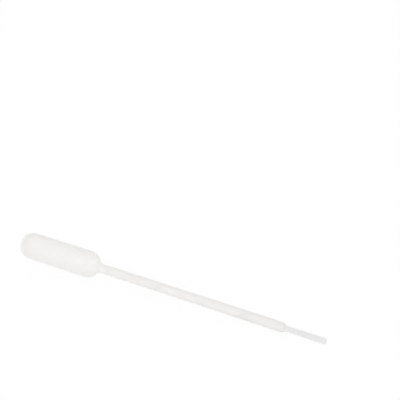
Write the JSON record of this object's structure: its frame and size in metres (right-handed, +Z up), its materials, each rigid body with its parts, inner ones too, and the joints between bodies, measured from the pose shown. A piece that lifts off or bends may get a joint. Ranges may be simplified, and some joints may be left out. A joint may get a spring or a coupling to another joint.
{
  "type": "plastic dropper pipette",
  "caption": "Milky blown-plastic dropper pipette: a hollow squeeze bulb, a long graduated stem, and a shouldered narrow tip with an open square-cut end.",
  "frame": {"origin": "middle of the footprint, on the surface that the pipette lies on", "axes": "+X along the pipette from the bulb to the open tip, +Z up; the pipette's own axis dips 2.35 degrees towards the tip"},
  "size_m": [0.1552, 0.0128, 0.0139],
  "materials": {
    "milky_plastic": "natural milky polyethylene, satin, translucent"
  },
  "bodies": {
    "root": {"pipette": "milky_plastic"}
  },
  "joints": []
}
